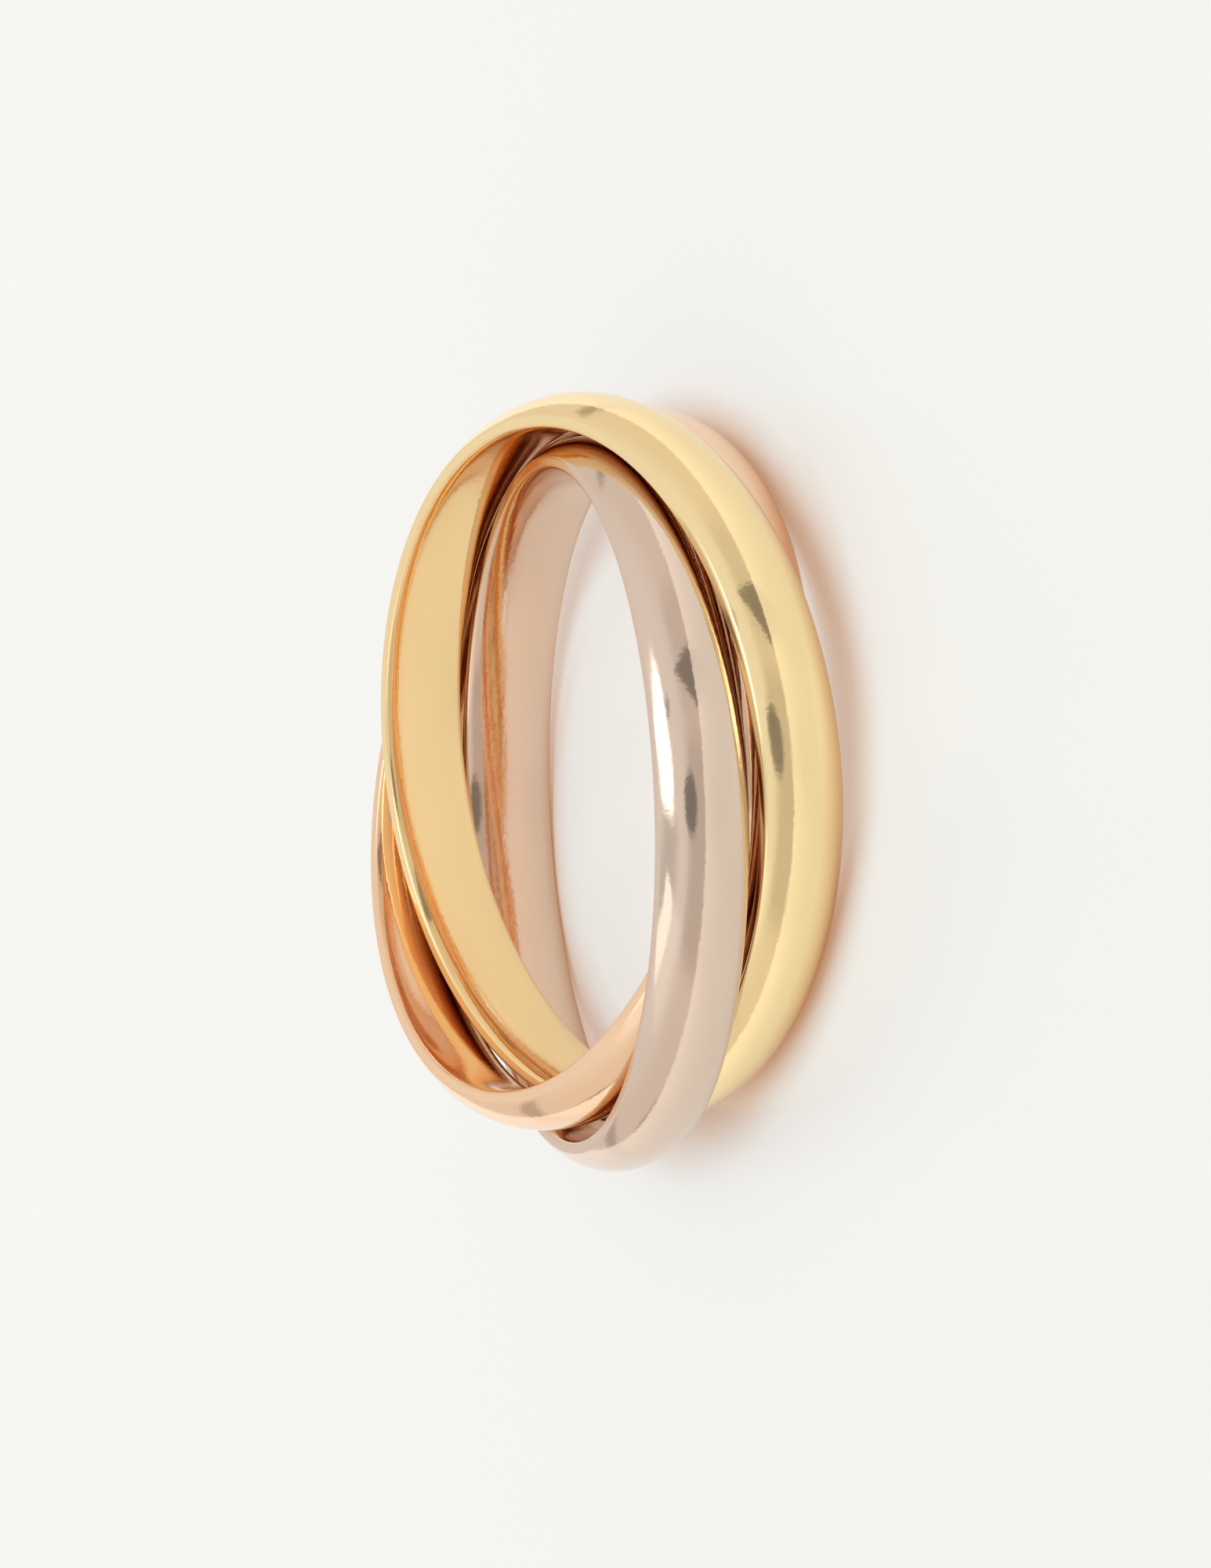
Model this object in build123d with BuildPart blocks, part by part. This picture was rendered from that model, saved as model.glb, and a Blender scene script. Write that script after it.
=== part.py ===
"""A rolling ring: three equal plain bands linked through each other, lying on a surface.

Millimetres, +Z up. The ring lies flat, as it would on a table at z = 0, and its origin is
at the middle of its footprint. The bands are alike, and each one leans a little, so that
it passes over one neighbour and under the other.
"""
from build123d import *
from math import cos, radians, sin, sqrt
import os

# one band
OUTER_RADIUS = 10.0
BAND_WIDTH = 2.5
WALL = 1.04
CROWN_RISE = 0.55
INNER_FLARE = 0.25
SHOULDER_ROUND = 0.15

# how each band lies: its lean from level, the compass angle of its highest point,
# and where its centre stands beside the middle of the ring's footprint
LAY = {
    "yellow_band": {"lean": 9.96, "high_at": 45.8, "x": 0.625, "y": -0.584},
    "white_band": {"lean": 9.71, "high_at": -74.9, "x": -0.572, "y": -0.271},
    "rose_band": {"lean": 10.42, "high_at": 156.1, "x": 0.426, "y": 0.543},
}

inner_radius = OUTER_RADIUS - WALL
half_width = BAND_WIDTH / 2
rim_radius = OUTER_RADIUS - CROWN_RISE

# the crown is one arc, from one rim's outer corner over the widest point to the other
crown_radius = (half_width**2 + CROWN_RISE**2) / (2 * CROWN_RISE)
crown_centre = OUTER_RADIUS - crown_radius

# the round between crown and rim touches both, so its centre is worked out from them
shoulder_height = half_width - SHOULDER_ROUND
shoulder_centre = crown_centre + sqrt((crown_radius - SHOULDER_ROUND) ** 2 - shoulder_height**2)


def rest_height(lean):
    """Height of a leaning band's centre when its lower shoulder touches the surface."""
    return shoulder_centre * sin(lean) + shoulder_height * cos(lean) + SHOULDER_ROUND


def band_plane(lay):
    """The band's own plane: its axis is the plane's z, and its x points up the slope."""
    lean = radians(lay["lean"])
    high_at = radians(lay["high_at"])
    uphill = Vector(cos(high_at), sin(high_at), 0)
    return Plane(
        origin=(lay["x"], lay["y"], rest_height(lean)),
        x_dir=uphill * cos(lean) + Vector(0, 0, sin(lean)),
        z_dir=Vector(0, 0, cos(lean)) - uphill * sin(lean),
    )


os.makedirs("parts", exist_ok=True)

for name, lay in LAY.items():
    plane = band_plane(lay)
    side = Plane(origin=plane.origin, x_dir=plane.x_dir, z_dir=-plane.y_dir)

    # a D section, turned about the band's axis: the inner wall is half an ellipse from rim to
    # rim, so it flares a little, and the outside is domed; on the side plane, x is the
    # distance from that axis
    with BuildPart() as band:
        with BuildSketch(side) as section:
            with BuildLine():
                inner_wall = EllipticalCenterArc(
                    (inner_radius + INNER_FLARE, 0),
                    x_radius=INNER_FLARE,
                    y_radius=half_width,
                    start_angle=90,
                    arc_size=180,
                )
                upper_rim = Line(inner_wall @ 0, (rim_radius, half_width))
                lower_rim = Line(inner_wall @ 1, (rim_radius, -half_width))
                ThreePointArc(upper_rim @ 1, (OUTER_RADIUS, 0), lower_rim @ 1)
            make_face()
            fillet(section.vertices().sort_by(Axis.X)[-2:], radius=SHOULDER_ROUND)
        revolve(axis=Axis(plane.origin, plane.z_dir))

    band.part.label = name
    export_step(band.part, f"parts/{name}.step")
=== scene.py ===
"""The looks of a rolling ring: three linked bands of polished yellow, white and rose gold.

Metres, +Z up, in the same frame as the solids. The ring lies on a pale glossy surface at z = 0
in a soft bright studio, and the camera looks down at it from a low angle, turned on its side.
"""

import bpy
import numpy as np
from mathutils import Matrix, Vector


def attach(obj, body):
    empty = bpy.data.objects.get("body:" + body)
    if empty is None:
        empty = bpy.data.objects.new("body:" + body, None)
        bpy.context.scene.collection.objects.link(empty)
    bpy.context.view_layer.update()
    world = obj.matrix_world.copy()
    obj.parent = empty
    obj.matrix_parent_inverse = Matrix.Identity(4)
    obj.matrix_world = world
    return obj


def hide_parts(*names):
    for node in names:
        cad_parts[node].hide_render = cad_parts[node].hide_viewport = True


MM = 0.001
MICRON = 1e-6

# one band, as in the solids
OUTER_RADIUS = 10.0 * MM
BAND_WIDTH = 2.5 * MM
WALL = 1.04 * MM
CROWN_RISE = 0.55 * MM
INNER_FLARE = 0.25 * MM
SHOULDER_ROUND = 0.15 * MM

# how each band lies: lean and compass angle of its highest point in degrees, and its centre
LAY = {
    "yellow_band": {"lean": 9.96, "high_at": 45.8, "x": 0.625 * MM, "y": -0.584 * MM},
    "white_band": {"lean": 9.71, "high_at": -74.9, "x": -0.572 * MM, "y": -0.271 * MM},
    "rose_band": {"lean": 10.42, "high_at": 156.1, "x": 0.426 * MM, "y": 0.543 * MM},
}

# the photograph's view: a long lens, rolled by a quarter turn
AIM = Vector((-0.041, -0.227, 2.629)) * MM
CAMERA_DISTANCE = 200 * MM
ELEVATION = 25.91
ROLL = 0.49
LENS = 168.97
SENSOR = 36.0

# points along each stretch of the section, and round the band
TURN_STEPS = 480
INNER_STEPS = 30
ROUND_STEPS = 12
RIM_STEPS = 3
CROWN_STEPS = 30

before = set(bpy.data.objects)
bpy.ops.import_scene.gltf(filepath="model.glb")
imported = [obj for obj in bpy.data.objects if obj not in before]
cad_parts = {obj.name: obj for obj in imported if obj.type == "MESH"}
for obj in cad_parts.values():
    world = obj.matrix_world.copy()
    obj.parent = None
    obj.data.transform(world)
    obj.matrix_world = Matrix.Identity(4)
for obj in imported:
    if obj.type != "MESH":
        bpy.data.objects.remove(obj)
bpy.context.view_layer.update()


class Socket:
    """An output of a shader node. Arithmetic with it adds Math nodes to the same tree."""

    def __init__(self, tree, output=None):
        self.tree = tree
        self.output = output

    def add(self, kind, settings=None, values=None, output=0):
        """A new node of this kind. Its settings come first, then its sockets' values or links."""
        node = self.tree.nodes.new(kind)
        for name, setting in (settings or {}).items():
            setattr(node, name, setting)
        for name, value in (values or {}).items():
            if isinstance(value, Socket):
                self.tree.links.new(value.output, node.inputs[name])
            else:
                node.inputs[name].default_value = value
        return Socket(self.tree, node.outputs[output])

    def part(self, name):
        """Another output of the same node."""
        return Socket(self.tree, self.output.node.outputs[name])

    def math(self, operation, *values):
        return self.add("ShaderNodeMath", {"operation": operation}, dict(enumerate(values)))

    def fade(self, start, end, low=0, high=1):
        """Goes smoothly from low to high while this value goes from start to end."""
        return self.add("ShaderNodeMapRange", {"interpolation_type": "SMOOTHSTEP"}, {
            "Value": self, "From Min": start, "From Max": end, "To Min": low, "To Max": high})

    def blend(self, first, second):
        """The first colour where this value is 0, and the second where it is 1."""
        return self.add("ShaderNodeMix", {"data_type": "RGBA"}, {0: self, 6: first, 7: second}, 2)

    def __add__(self, other):
        return self.math("ADD", self, other)

    def __sub__(self, other):
        return self.math("SUBTRACT", self, other)

    def __rsub__(self, other):
        return self.math("SUBTRACT", other, self)

    def __mul__(self, other):
        return self.math("MULTIPLY", self, other)

    def __truediv__(self, other):
        return self.math("DIVIDE", self, other)

    def __abs__(self):
        return self.math("ABSOLUTE", self)

    __radd__ = __add__
    __rmul__ = __mul__


def arc(centre, radius, start, end, steps):
    """Points of an arc: centre + radius * (cos a, sin a), with a from start to end in degrees."""
    a = np.radians(np.linspace(start, end, steps + 1))
    return np.stack([centre[0] + radius * np.cos(a), centre[1] + radius * np.sin(a)], 1)


def half_section():
    """Upper half of the D section as (distance from axis, height along axis).

    It runs up the inner wall, which is half an ellipse from rim to rim, along the flat rim,
    round the shoulder until it meets the crown, and down the crown's arc to the widest point.
    """
    half = BAND_WIDTH / 2
    inner = OUTER_RADIUS - WALL
    crown_radius = (half**2 + CROWN_RISE**2) / (2 * CROWN_RISE)
    crown_centre = OUTER_RADIUS - crown_radius
    shoulder_height = half - SHOULDER_ROUND
    shoulder_reach = np.sqrt((crown_radius - SHOULDER_ROUND) ** 2 - shoulder_height**2)
    shoulder_centre = crown_centre + shoulder_reach
    meets_crown = np.degrees(np.arctan2(shoulder_height, shoulder_reach))
    a = np.linspace(0, np.pi / 2, INNER_STEPS + 1)
    wall = np.stack([inner + INNER_FLARE * (1 - np.cos(a)), half * np.sin(a)], 1)
    rim_reach = np.linspace(inner + INNER_FLARE, shoulder_centre, RIM_STEPS + 1)
    rim = np.stack([rim_reach, np.full_like(rim_reach, half)], 1)
    shoulder = arc((shoulder_centre, shoulder_height), SHOULDER_ROUND, 90, meets_crown, ROUND_STEPS)
    crown = arc((crown_centre, 0), crown_radius, meets_crown, 0, CROWN_STEPS)
    return np.concatenate([wall, rim[1:], shoulder[1:], crown[1:]])


def whole_section():
    """The half section followed by its mirror image below, without repeating shared points."""
    upper = half_section()
    lower = (upper * (1, -1))[::-1]
    return np.concatenate([upper, lower[1:-1]])


def band_axes(lay):
    """The band's centre, its uphill direction, the direction across it, and its axis.

    The centre stands as high as puts the lowest point of the shoulder on the surface.
    """
    lean, high_at = np.radians(lay["lean"]), np.radians(lay["high_at"])
    section = whole_section()
    drop = (section[:, 0] * np.sin(lean) + section[:, 1] * np.cos(lean)).max()
    level = np.array([np.cos(high_at), np.sin(high_at), 0])
    uphill = level * np.cos(lean) + (0, 0, np.sin(lean))
    axis = -level * np.sin(lean) + (0, 0, np.cos(lean))
    return np.array([lay["x"], lay["y"], drop]), uphill, np.cross(axis, uphill), axis


def grid_faces(rows, columns):
    """Quads of a grid that is closed both ways, one per cell, wound so that they face outwards."""
    row, column = np.meshgrid(np.arange(rows), np.arange(columns), indexing="ij")
    next_row, next_column = (row + 1) % rows, (column + 1) % columns
    corners = [(row, column), (next_row, column), (next_row, next_column), (row, next_column)]
    return np.stack([r * columns + c for r, c in corners], -1).reshape(-1, 4)


def surface(name, points, faces):
    """A smooth mesh object from an array of points and an array of quads."""
    mesh = bpy.data.meshes.new(name)
    mesh.from_pydata(points.reshape(-1, 3), [], faces)
    mesh.shade_smooth()
    piece = bpy.data.objects.new(name, mesh)
    bpy.context.scene.collection.objects.link(piece)
    return piece


def band(node, lay):
    """A band: its section turned about the axis.

    A point is centre + distance * (cos t * uphill + sin t * across) + height * axis, where
    t goes once round and (distance, height) goes once along the section.
    """
    centre, uphill, across, axis = band_axes(lay)
    section = whole_section()
    turn = np.linspace(0, 2 * np.pi, TURN_STEPS, endpoint=False)
    out = np.cos(turn)[:, None] * uphill + np.sin(turn)[:, None] * across
    points = centre + section[None, :, :1] * out[:, None, :] + section[None, :, 1:] * axis
    faces = grid_faces(TURN_STEPS, len(section))
    piece = surface(node.replace("band", "polished_band"), points, faces)
    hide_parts(node)
    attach(piece, node)
    return piece


# polished gold: how rough it is, and its marks, as waves a millimetre along and across the
# band. "shows" is the stretch of the noise over which a mark comes in
POLISH = 0.085
POLISH_LINES = {"along": 0.35, "across": 7.0, "depth": 1.6 * MICRON}
GRAIN = {"along": 6.0, "across": 6.0, "share": 1.4}
HAND_FINISH = {"along": 0.22, "across": 0.8, "depth": 9.0 * MICRON}
HAZE = {"along": 0.55, "across": 1.1, "shows": (0.45, 0.75), "roughness": 0.05}
SCRATCHES = {"along": 0.9, "across": 5.0, "width": 0.012, "shows": (0.62, 0.8), "roughness": 0.10}

# the rims' outer part is rubbed duller, from this share of the half width outwards
SHOULDER_WEAR = {"from": 0.86, "roughness": 0.05}

# the metal's tone wanders a little, and the inner wall is painted deeper and warmer in colour up to
# its edge, over a few hundredths of a millimetre, as painted reflection of the light bounced
# between the bands
TONE = {"along": 0.15, "across": 0.3, "shows": (0.3, 0.7), "shade": 0.03}
INSIDE_BOUNCE_TINT = (1.0, 0.93, 0.88)
SOFT_EDGE = 0.05

# painted shade: a place is a gap where little of the sky shows within this reach, and there the
# base colour is darkened to a brown
GAP_SHADE_COLOUR = (0.66, 0.46, 0.33)
GAP_REACH = 0.8 * MM
GAP_OPEN = (0.1, 0.6)
GAP_SAMPLES = 4


def polished_gold(name, colour, lay, seed):
    """Gold polished by hand, seen in the band's own directions so that its marks run round it.

    Fine lines and a finer grain run round the band, the surface swells a little under them, a
    thin haze comes and goes, a few hair scratches lie on it, and the shoulders are rubbed duller
    than the rest. The inner wall is painted deeper in colour, standing in for warm light bounced
    between the bands, and the narrow gaps between bands get a painted brown shade where little
    sky shows.
    """
    material = bpy.data.materials.new(name)
    material.use_nodes = True
    tree = material.node_tree
    shader = tree.nodes["Principled BSDF"]
    centre, uphill, across, axis = band_axes(lay)
    turned = Matrix((uphill, across, axis)).transposed().to_euler()

    start = Socket(tree)
    place = start.add("ShaderNodeTexCoord", output="Object")
    own = start.add("ShaderNodeMapping", {"vector_type": "TEXTURE"}, {
        "Vector": place, "Location": centre, "Rotation": turned, "Scale": (MM, MM, MM)})
    sides = start.add("ShaderNodeSeparateXYZ", values={"Vector": own})
    x, y, z = sides.part("X"), sides.part("Y"), sides.part("Z")
    reach = start.math("SQRT", x * x + y * y)
    inner_edge = (OUTER_RADIUS - WALL + INNER_FLARE) / MM

    def noise(along, across, offset, detail=2.0):
        """Noise stretched round the band: this many waves a millimetre along and across it.

        The offset is a place of its own for each kind of mark, so that no two look alike.
        """
        where = start.add("ShaderNodeCombineXYZ", values={
            "X": x * along, "Y": y * along, "Z": z * across + (seed + offset)})
        return start.add("ShaderNodeTexNoise", {"noise_dimensions": "4D"}, {
            "Vector": where, "W": reach * across, "Scale": 1.0, "Detail": detail})

    lines = noise(POLISH_LINES["along"], POLISH_LINES["across"], 0)
    grain = noise(GRAIN["along"], GRAIN["across"], 60, 1.0)
    swell = noise(HAND_FINISH["along"], HAND_FINISH["across"], 10, 1.0)
    haze = noise(HAZE["along"], HAZE["across"], 20).fade(*HAZE["shows"])
    thread = noise(SCRATCHES["along"], SCRATCHES["across"], 30, 0.0)
    patch = noise(SCRATCHES["along"], SCRATCHES["along"], 40, 0.0).fade(*SCRATCHES["shows"])
    scratch = abs(thread - 0.5).fade(0, SCRATCHES["width"], 1, 0) * patch
    half_width = BAND_WIDTH / MM / 2
    shoulder = abs(z).fade(SHOULDER_WEAR["from"] * half_width, half_width)
    tone = noise(TONE["along"], TONE["across"], 50).fade(*TONE["shows"])

    # painted reflection: the inner wall is darkened and warmed, standing in for light bounced
    # between the bands
    bounce_tinted = [c * t for c, t in zip(colour, INSIDE_BOUNCE_TINT)]
    outside = reach.fade(inner_edge, inner_edge + SOFT_EDGE)
    metal = outside.blend((*bounce_tinted, 1), (*colour, 1))
    shade = 1 - TONE["shade"]
    dark = outside.blend((*[c * shade for c in bounce_tinted], 1), (*[c * shade for c in colour], 1))
    before_gap_shade = tone.blend(dark, metal)
    sky = start.add(
        "ShaderNodeAmbientOcclusion", {"samples": GAP_SAMPLES}, {"Distance": GAP_REACH}).part("AO")
    # painted shade: the base colour turns brown where little sky shows, in the narrow gaps between
    # bands
    base = sky.fade(*GAP_OPEN).blend((*GAP_SHADE_COLOUR, 1), before_gap_shade)
    worn = haze * HAZE["roughness"] + scratch * SCRATCHES["roughness"]
    rough = POLISH + worn + shoulder * SHOULDER_WEAR["roughness"]
    height = lines + grain * GRAIN["share"]
    fine = start.add("ShaderNodeBump", values={
        "Height": height, "Distance": POLISH_LINES["depth"], "Strength": 1.0})
    bump = start.add("ShaderNodeBump", values={
        "Height": swell, "Distance": HAND_FINISH["depth"], "Strength": 1.0, "Normal": fine})
    tree.links.new(base.output, shader.inputs["Base Color"])
    tree.links.new(rough.output, shader.inputs["Roughness"])
    tree.links.new(bump.output, shader.inputs["Normal"])
    shader.inputs["Metallic"].default_value = 1
    return material


# each band's slot and colour
METALS = {
    "yellow_band": ("yellow_gold", (1.0, 0.785, 0.425)),
    "white_band": ("white_gold", (0.79, 0.625, 0.50)),
    "rose_band": ("rose_gold", (1.0, 0.69, 0.45)),
}

for number, (node, lay) in enumerate(LAY.items()):
    piece = band(node, lay)
    slot, colour = METALS[node]
    piece.data.materials.append(polished_gold(slot, colour, lay, 100 * number))


# the lit surface under the ring: how much of its brightness is its own, and a painted warmer,
# dimmer glow close by, where less of the sky shows, standing in for the ring's shadow and the light
# the gold throws back
FLOOR_SIZE = 3.0
FLOOR_POLISH = 0.28
FLOOR_COLOUR = (0.32, 0.325, 0.315, 1)
FLOOR_GLOW = (0.55, 0.55, 0.54, 1)
GOLD_BOUNCE_AND_SHADE = (0.38, 0.19, 0.09, 1)
GLOW_REACH = 2 * MM
GLOW_OPEN = (0.28, 0.7)


def make_floor():
    """The pale, slightly glossy surface that the ring lies on, lit a little from within, with a
    painted warm shade close to the ring.
    """
    bpy.ops.mesh.primitive_plane_add(size=FLOOR_SIZE)
    floor = bpy.context.object
    floor.name = "floor"
    material = bpy.data.materials.new("pale_floor")
    material.use_nodes = True
    tree = material.node_tree
    shader = tree.nodes["Principled BSDF"]
    sky = Socket(tree).add(
        "ShaderNodeAmbientOcclusion", {"samples": GAP_SAMPLES}, {"Distance": GLOW_REACH}).part("AO")
    # painted shadow and bounce light: near the ring the floor's glow turns dimmer and warmer
    floor_light_and_shade = sky.fade(*GLOW_OPEN).blend(GOLD_BOUNCE_AND_SHADE, FLOOR_GLOW)
    tree.links.new(floor_light_and_shade.output, shader.inputs["Emission Color"])
    shader.inputs["Emission Strength"].default_value = 1
    shader.inputs["Base Color"].default_value = FLOOR_COLOUR
    shader.inputs["Roughness"].default_value = FLOOR_POLISH
    floor.data.materials.append(material)


def make_camera():
    """The camera, its own up direction along the table's right and its right pointing down."""
    elevation, roll = np.radians(ELEVATION), np.radians(ROLL)
    back = Vector((0, -np.cos(elevation), np.sin(elevation)))
    level = Vector((1, 0, 0))
    rise = Vector((0, np.sin(elevation), np.cos(elevation)))
    camera_up = level * np.cos(roll) + rise * np.sin(roll)
    camera_right = level * np.sin(roll) - rise * np.cos(roll)
    turned = Matrix((camera_right, camera_up, back)).transposed()
    data = bpy.data.cameras.new("camera")
    data.lens = LENS
    data.sensor_width = SENSOR
    data.clip_start = 1 * MM
    data.clip_end = 100
    camera = bpy.data.objects.new("camera", data)
    camera.matrix_world = Matrix.Translation(AIM + back * CAMERA_DISTANCE) @ turned.to_4x4()
    bpy.context.scene.collection.objects.link(camera)
    bpy.context.scene.camera = camera


# the studio by direction, in degrees: azimuth 0 is towards the camera and 90 to its right.
# each patch and oval has a middle and half size in azimuth and elevation and its brightness;
# a patch's soft edges are in degrees, and an oval's is a share of its size. Between the two
# elevations of WALL_RISE the wall goes from warm to white
HORIZON = 0.81
ZENITH = 0.87
WALL_RISE = (10, 45)
WARM = (1, 0.93, 0.88, 1)
WHITE = (1, 1, 1, 1)
PATCHES = [
    {"at": (-16, 8), "half": (38, 20), "soft": (8, 8), "light": 0.635},
    {"at": (48, 10), "half": (22, 18), "soft": (9, 8), "light": 0.70},
    {"at": (-50, 62), "half": (40, 13), "soft": (6, 8), "light": 0.66},
    {"at": (-70, 47), "half": (26, 13), "soft": (6, 8), "light": 1.0},
    {"at": (-70, 57), "half": (26, 6.5), "soft": (2, 2), "light": 1.4},
    {"at": (33, 67), "half": (38, 10.5), "soft": (14, 4), "light": 3.0},
]
OVALS = [
    {"at": (-1, 25), "half": (10.5, 11.5), "soft": 0.2, "light": 0.26},
    {"at": (39, 51), "half": (4.5, 4), "soft": 0.3, "light": 0.5},
    {"at": (-138, 8), "half": (3.5, 14), "soft": 0.4, "light": 0.52},
    {"at": (131, 5), "half": (2.5, 12), "soft": 0.4, "light": 0.45},
    {"at": (-113, 0.5), "half": (10, 1.5), "soft": 0.4, "light": 0.45},
]

# a stand to the right of the camera, in degrees: half its width at the horizon, and how far it
# leans over and narrows for each degree up
STAND = {"middle": 38.5, "lean": 0.2, "half": 10.5, "narrowing": 0.33, "soft": 1.0, "light": 0.29}


def make_studio():
    """Soft light from all sides: a big light high on the right and a small one on the left.

    The camera, its stand and a few thin poles further round are dark shapes in front of a
    slightly greyer wall. Each shape is blended over what lies behind it, by how far inside its
    outline a direction is.
    """
    world = bpy.data.worlds.new("studio")
    world.use_nodes = True
    tree = world.node_tree
    start = Socket(tree)
    direction = start.add("ShaderNodeTexCoord", output="Generated")
    sides = start.add("ShaderNodeSeparateXYZ", values={"Vector": direction})
    degree = 180 / np.pi
    elevation = start.math("ARCSINE", sides.part("Z")) * degree
    azimuth = start.math("ARCTAN2", sides.part("X"), 0 - sides.part("Y")) * degree
    light = elevation.fade(*WALL_RISE, HORIZON, ZENITH)
    for patch in PATCHES:
        inside = 1
        sizes = zip((azimuth, elevation), patch["at"], patch["half"], patch["soft"])
        for angle, middle, half, soft in sizes:
            inside = inside * abs(angle - middle).fade(half - soft, half + soft, 1, 0)
        light = light + (patch["light"] - light) * inside
    for oval in OVALS:
        across = (azimuth - oval["at"][0]) / oval["half"][0]
        upright = (elevation - oval["at"][1]) / oval["half"][1]
        away = start.math("SQRT", across * across + upright * upright)
        inside = away.fade(1 - oval["soft"], 1 + oval["soft"], 1, 0)
        light = light + (oval["light"] - light) * inside
    edge = STAND["half"] - elevation * STAND["narrowing"]
    off = abs(azimuth - elevation * STAND["lean"] - STAND["middle"])
    inside = (edge - off).fade(-STAND["soft"], STAND["soft"])
    light = light + (STAND["light"] - light) * inside
    tint = elevation.fade(*WALL_RISE).blend(WARM, WHITE)
    background = tree.nodes["Background"]
    tree.links.new(tint.output, background.inputs["Color"])
    tree.links.new(light.output, background.inputs["Strength"])
    bpy.context.scene.world = world


make_floor()
make_camera()
make_studio()
bpy.context.scene.view_settings.view_transform = "Standard"

# light goes to and fro between the bands many times before it leaves the narrow gaps
GAP_BOUNCES = 12
bpy.context.scene.cycles.glossy_bounces = GAP_BOUNCES
